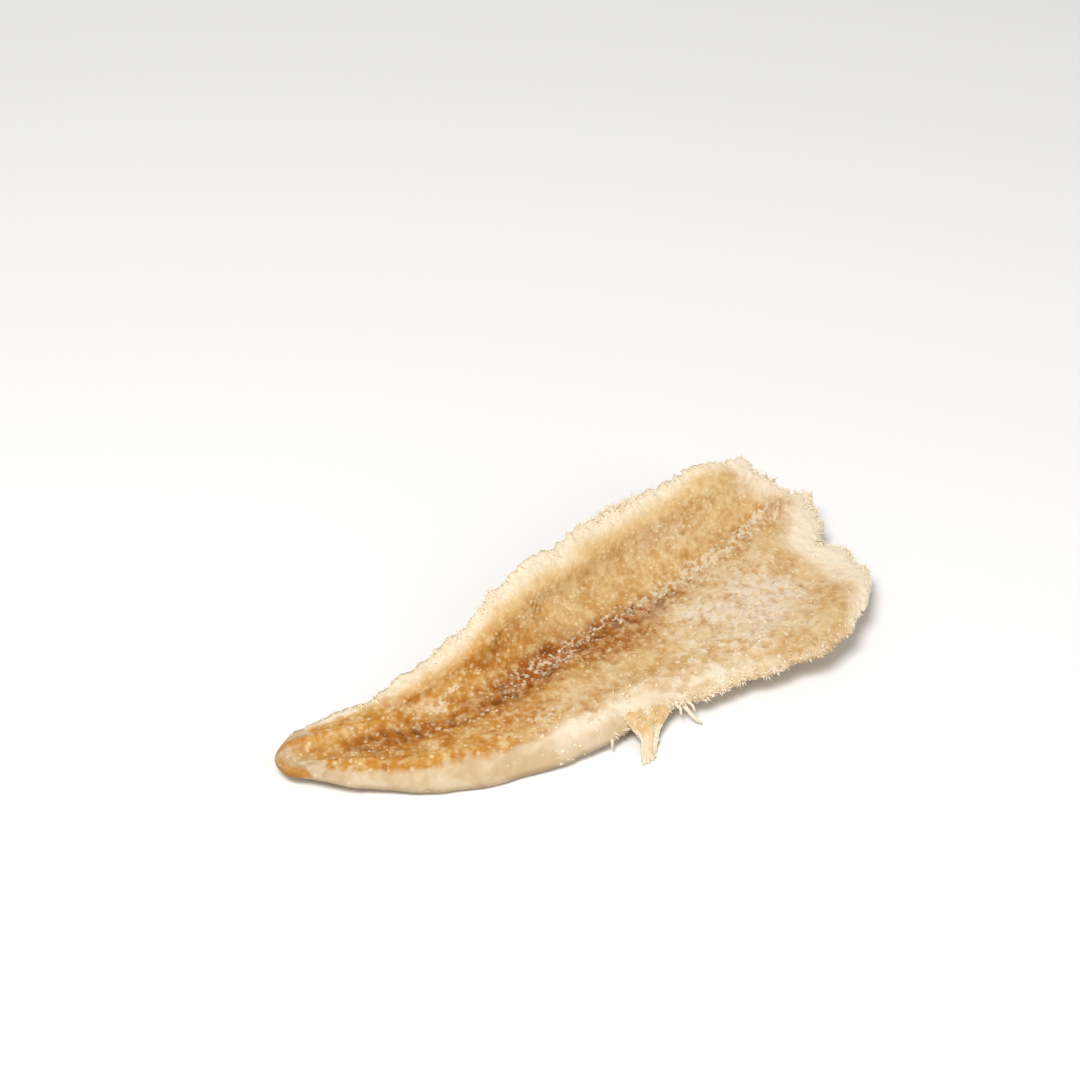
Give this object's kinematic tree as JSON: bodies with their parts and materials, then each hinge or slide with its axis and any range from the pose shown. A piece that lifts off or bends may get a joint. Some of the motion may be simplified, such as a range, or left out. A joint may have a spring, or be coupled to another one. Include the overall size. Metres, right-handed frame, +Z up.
{
  "type": "salted fish fillet",
  "caption": "Dried, salted white-fish fillet: a long cupped leaf of amber flesh with pale puffed rims, a brown midline, a torn wide end and salt crystals all over.",
  "frame": {"origin": "on the resting surface, under the centre of the bounding box", "axes": "+X from the tail cut to the wide torn end, +Y from the low near edge to the high curled edge, +Z up, flesh side up"},
  "size_m": [0.1248, 0.054, 0.0157],
  "materials": {
    "dried_flesh": "dry, matt to waxy, amber with pale rims and a brown midline",
    "salt_crystals": "fine, translucent white salt grains",
    "torn_fibre": "pale, fluffy torn muscle and membrane"
  },
  "bodies": {
    "root": {"fish_fillet": "dried_flesh"}
  },
  "joints": []
}
